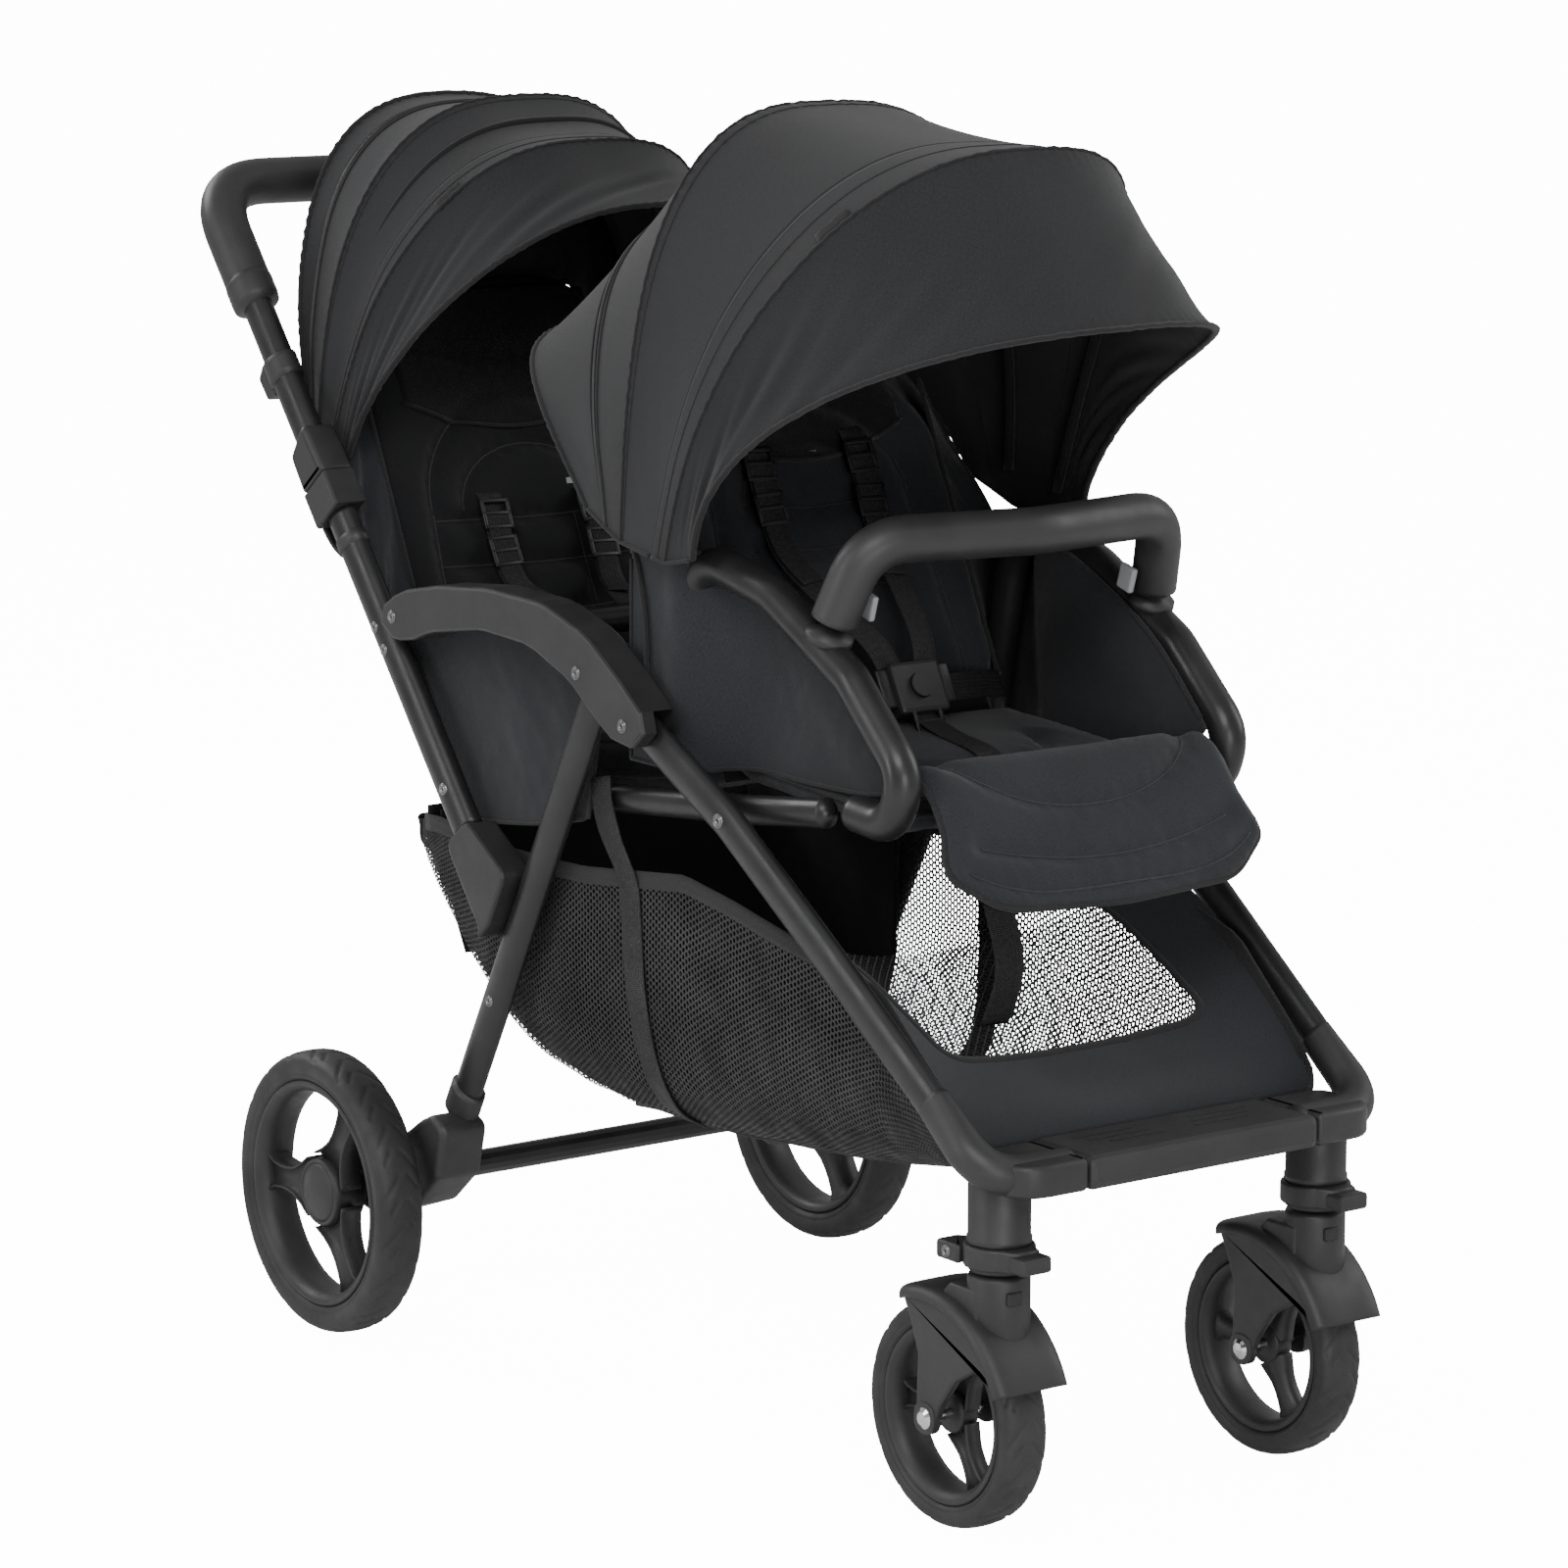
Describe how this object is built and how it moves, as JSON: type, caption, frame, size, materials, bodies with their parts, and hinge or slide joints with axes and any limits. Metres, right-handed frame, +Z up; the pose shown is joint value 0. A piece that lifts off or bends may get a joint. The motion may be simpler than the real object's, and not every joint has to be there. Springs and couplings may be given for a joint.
{
  "type": "tandem double pushchair",
  "caption": "Folding tandem pushchair with two seats in line, two folding canopies, a shopping basket, large rear wheels and swivelling front wheels.",
  "frame": {"origin": "centre of the overall box's footprint, on the ground under the wheels", "axes": "+Z up, the front of the pushchair towards -Y, the rider's left towards -X"},
  "size_m": [0.5956, 1.1975, 1.1248],
  "materials": {
    "satin_black_metal": "satin",
    "moulded_plastic": "fine grain",
    "tyre_rubber": "matt",
    "chrome_bolt": "polished",
    "grey_plastic": "satin",
    "handle_foam": "matt",
    "canopy_fabric": "woven",
    "seat_fabric": "woven",
    "basket_mesh": "open mesh"
  },
  "bodies": {
    "seat_frame": {"push_tube_left": "satin_black_metal", "frame_latch_left": "moulded_plastic", "handle_housing_left": "moulded_plastic", "armrest_left": "moulded_plastic", "side_rail_left": "satin_black_metal", "seat_hoop_left": "satin_black_metal", "push_tube_right": "satin_black_metal", "frame_latch_right": "moulded_plastic", "handle_housing_right": "moulded_plastic", "armrest_right": "moulded_plastic", "side_rail_right": "satin_black_metal", "seat_hoop_right": "satin_black_metal", "rear_guard_bar": "satin_black_metal", "front_seat_cushion": "seat_fabric", "rear_seat_cushion": "seat_fabric", "front_canopy_rear": "canopy_fabric", "rear_canopy_rear": "canopy_fabric", "front_buckle": "moulded_plastic", "rear_buckle": "moulded_plastic", "basket": "basket_mesh"},
    "rear_legs": {"rear_leg_left": "satin_black_metal", "rear_bracket_left": "moulded_plastic", "rear_leg_right": "satin_black_metal", "rear_bracket_right": "moulded_plastic", "rear_crossbar": "satin_black_metal"},
    "front_legs": {"front_leg_left": "satin_black_metal", "front_corner_left": "moulded_plastic", "front_leg_right": "satin_black_metal", "front_corner_right": "moulded_plastic", "footplate": "moulded_plastic"},
    "handle": {"handle_arm_left": "satin_black_metal", "handle_arm_right": "satin_black_metal", "handle_grip": "handle_foam"},
    "front_canopy_middle": {"front_canopy_middle": "canopy_fabric"},
    "front_canopy_visor": {"front_canopy_visor": "canopy_fabric"},
    "rear_canopy_middle": {"rear_canopy_middle": "canopy_fabric"},
    "rear_canopy_visor": {"rear_canopy_visor": "canopy_fabric"},
    "front_backrest": {"front_backrest": "seat_fabric"},
    "rear_backrest": {"rear_backrest": "seat_fabric"},
    "calf_rest": {"calf_rest": "seat_fabric"},
    "bumper_bar": {"bumper_bar": "satin_black_metal"},
    "brake_pedal": {"brake_pedal": "moulded_plastic"},
    "front_buckle_button": {"front_buckle_button": "moulded_plastic"},
    "rear_buckle_button": {"rear_buckle_button": "moulded_plastic"},
    "rear_wheel_left": {"rear_tyre_left": "tyre_rubber", "rear_rim_left": "moulded_plastic"},
    "caster_left": {"caster_fork_left": "moulded_plastic", "caster_bolt_left": "chrome_bolt"},
    "front_wheel_left": {"front_tyre_left": "tyre_rubber", "front_rim_left": "moulded_plastic"},
    "swivel_lock_left": {"swivel_lock_left": "moulded_plastic"},
    "bumper_release_left": {"bumper_release_left": "grey_plastic"},
    "rear_wheel_right": {"rear_tyre_right": "tyre_rubber", "rear_rim_right": "moulded_plastic"},
    "caster_right": {"caster_fork_right": "moulded_plastic", "caster_bolt_right": "chrome_bolt"},
    "front_wheel_right": {"front_tyre_right": "tyre_rubber", "front_rim_right": "moulded_plastic"},
    "swivel_lock_right": {"swivel_lock_right": "moulded_plastic"},
    "bumper_release_right": {"bumper_release_right": "grey_plastic"}
  },
  "joints": [
    {"name": "frame_fold", "type": "hinge", "parent": "seat_frame", "child": "rear_legs", "pos_m": [0, -0.0508, 0.624], "axis": [-1, 0, 0], "range_deg": [0, 24], "deforming": ["basket"]},
    {"name": "front_legs_fold", "type": "hinge", "parent": "seat_frame", "child": "front_legs", "pos_m": [0, -0.1058, 0.606], "axis": [1, 0, 0], "range_deg": [0, 46.08], "deforming": ["basket"]},
    {"name": "handle_fold", "type": "hinge", "parent": "seat_frame", "child": "handle", "pos_m": [0, 0.39024, 0.74478], "axis": [-1, 0, 0], "range_deg": [0, 146]},
    {"name": "rear_wheel_left_spin", "type": "hinge", "parent": "rear_legs", "child": "rear_wheel_left", "pos_m": [-0.2754, 0.2872, 0.1284], "axis": [1, 0, 0], "continuous": true},
    {"name": "caster_left_swivel", "type": "hinge", "parent": "front_legs", "child": "caster_left", "pos_m": [-0.166, -0.5428, 0.2], "axis": [0, 0, 1], "continuous": true},
    {"name": "front_wheel_left_spin", "type": "hinge", "parent": "caster_left", "child": "front_wheel_left", "pos_m": [-0.166, -0.4911, 0.0935], "axis": [1, 0, 0], "continuous": true},
    {"name": "swivel_lock_left_press", "type": "slide", "parent": "front_legs", "child": "swivel_lock_left", "axis": [0, 1, 0], "range_m": [0, 0.006]},
    {"name": "bumper_release_left_press", "type": "slide", "parent": "bumper_bar", "child": "bumper_release_left", "axis": [-1, 0, 0], "range_m": [0, 0.003], "stiffness_N_per_m": 300, "springref_m": -0.001},
    {"name": "rear_wheel_right_spin", "type": "hinge", "parent": "rear_legs", "child": "rear_wheel_right", "pos_m": [0.2754, 0.2872, 0.1284], "axis": [1, 0, 0], "continuous": true},
    {"name": "caster_right_swivel", "type": "hinge", "parent": "front_legs", "child": "caster_right", "pos_m": [0.166, -0.5428, 0.2], "axis": [0, 0, 1], "continuous": true},
    {"name": "front_wheel_right_spin", "type": "hinge", "parent": "caster_right", "child": "front_wheel_right", "pos_m": [0.166, -0.4911, 0.0935], "axis": [1, 0, 0], "continuous": true},
    {"name": "swivel_lock_right_press", "type": "slide", "parent": "front_legs", "child": "swivel_lock_right", "axis": [0, 1, 0], "range_m": [0, 0.006]},
    {"name": "bumper_release_right_press", "type": "slide", "parent": "bumper_bar", "child": "bumper_release_right", "axis": [1, 0, 0], "range_m": [0, 0.003], "stiffness_N_per_m": 300, "springref_m": -0.001},
    {"name": "front_canopy_fold", "type": "hinge", "parent": "seat_frame", "child": "front_canopy_middle", "pos_m": [0, -0.1878, 0.752], "axis": [-1, 0, 0], "range_deg": [0, 34]},
    {"name": "front_canopy_visor_fold", "type": "hinge", "parent": "front_canopy_middle", "child": "front_canopy_visor", "pos_m": [0, -0.1878, 0.752], "axis": [-1, 0, 0], "range_deg": [0, 26]},
    {"name": "rear_canopy_fold", "type": "hinge", "parent": "seat_frame", "child": "rear_canopy_middle", "pos_m": [0, 0.4022, 0.785], "axis": [-1, 0, 0], "range_deg": [0, 20]},
    {"name": "rear_canopy_visor_fold", "type": "hinge", "parent": "rear_canopy_middle", "child": "rear_canopy_visor", "pos_m": [0, 0.4022, 0.785], "axis": [-1, 0, 0], "range_deg": [0, 15]},
    {"name": "front_backrest_recline", "type": "hinge", "parent": "seat_frame", "child": "front_backrest", "pos_m": [0, -0.1448, 0.588], "axis": [1, 0, 0], "range_deg": [-35, 0]},
    {"name": "rear_backrest_recline", "type": "hinge", "parent": "seat_frame", "child": "rear_backrest", "pos_m": [0, 0.2872, 0.548], "axis": [1, 0, 0], "range_deg": [-38, 0]},
    {"name": "calf_rest_tilt", "type": "hinge", "parent": "seat_frame", "child": "calf_rest", "pos_m": [0, -0.4008, 0.556], "axis": [-1, 0, 0], "range_deg": [-15, 40]},
    {"name": "bumper_bar_gate", "type": "hinge", "parent": "seat_frame", "child": "bumper_bar", "pos_m": [0.168, -0.3243, 0.708], "axis": [0, -0.3598, 0.933], "range_deg": [0, 100]},
    {"name": "brake_pedal_press", "type": "hinge", "parent": "rear_legs", "child": "brake_pedal", "pos_m": [0.105, 0.2412, 0.166], "axis": [-1, 0, 0], "range_deg": [0, 18]},
    {"name": "front_buckle_press", "type": "slide", "parent": "seat_frame", "child": "front_buckle_button", "axis": [0, 0.8829, -0.4695], "range_m": [0, 0.0028], "stiffness_N_per_m": 400, "springref_m": -0.0008},
    {"name": "rear_buckle_press", "type": "slide", "parent": "seat_frame", "child": "rear_buckle_button", "axis": [0, 0.8829, -0.4695], "range_m": [0, 0.0028], "stiffness_N_per_m": 400, "springref_m": -0.0008}
  ],
  "couplings": [
    {"joint": "front_legs_fold", "follows": "frame_fold", "ratio": 1.92},
    {"joint": "front_canopy_visor_fold", "follows": "front_canopy_fold", "ratio": 0.76471},
    {"joint": "rear_canopy_visor_fold", "follows": "rear_canopy_fold", "ratio": 0.75}
  ]
}
